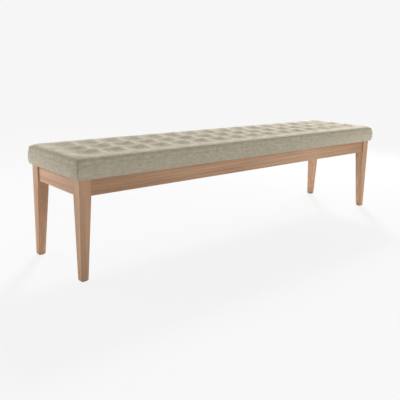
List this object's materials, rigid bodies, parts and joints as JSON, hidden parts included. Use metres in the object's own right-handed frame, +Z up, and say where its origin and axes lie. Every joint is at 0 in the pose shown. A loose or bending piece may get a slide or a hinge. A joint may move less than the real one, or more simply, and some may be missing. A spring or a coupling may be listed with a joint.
{
  "type": "upholstered bench",
  "caption": "Long upholstered bench with a tufted fabric seat on an oak frame with tapered legs.",
  "frame": {"origin": "on the floor, under the middle of the bench", "axes": "+X along the bench to the right as seen from the front, +Y from front to back, +Z up"},
  "size_m": [1.8, 0.41, 0.45],
  "materials": {
    "oak": "light oak, satin lacquer",
    "beech": "planed, unfinished",
    "plywood": "sanded plywood",
    "screw_steel": "zinc plated",
    "felt": "pressed brown felt",
    "foam": "cut upholstery foam",
    "wadding": "polyester wadding",
    "linen": "plain weave linen, warm grey beige",
    "twine": "waxed flat twine",
    "dust_cloth": "black non-woven"
  },
  "bodies": {
    "root": {"leg_front_left": "oak", "leg_front_right": "oak", "leg_back_left": "oak", "leg_back_right": "oak", "apron_front": "oak", "apron_back": "oak", "apron_left": "oak", "apron_right": "oak", "corner_block_front_left": "beech", "corner_block_front_right": "beech", "corner_block_back_left": "beech", "corner_block_back_right": "beech", "cross_rail_left": "beech", "cross_rail_right": "beech", "seat_screws": "screw_steel", "foot_pads": "felt", "seat_board": "plywood", "foam_pad": "foam", "wadding": "wadding", "cover_top_panel": "linen", "cover_band_front": "linen", "cover_band_back": "linen", "cover_band_left": "linen", "cover_band_right": "linen", "tuft_twines": "twine", "dust_cover": "dust_cloth"}
  },
  "joints": []
}
